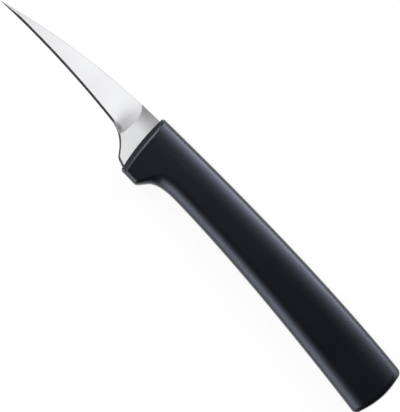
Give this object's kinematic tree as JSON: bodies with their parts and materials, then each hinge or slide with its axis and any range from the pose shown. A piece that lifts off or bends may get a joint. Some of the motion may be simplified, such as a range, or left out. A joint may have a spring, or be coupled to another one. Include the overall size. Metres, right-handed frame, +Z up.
{
  "type": "decorating knife",
  "caption": "Small bird's-beak kitchen knife with a concave ground blade and a moulded plastic handle with a finger guard, for turning, peeling and decorating vegetables and fruit.",
  "frame": {"origin": "under the middle of the box that holds the knife, on the plane of the side it lies on", "axes": "+X along the knife from the tip to the butt, +Y from the cutting edge to the spine, +Z up from the side it lies on"},
  "size_m": [0.1802, 0.0228, 0.013],
  "materials": {
    "blade_steel": "satin ground stainless steel",
    "handle_polypropylene": "satin moulded polypropylene"
  },
  "bodies": {
    "root": {"blade_with_tang": "blade_steel", "moulded_handle": "handle_polypropylene"}
  },
  "joints": []
}
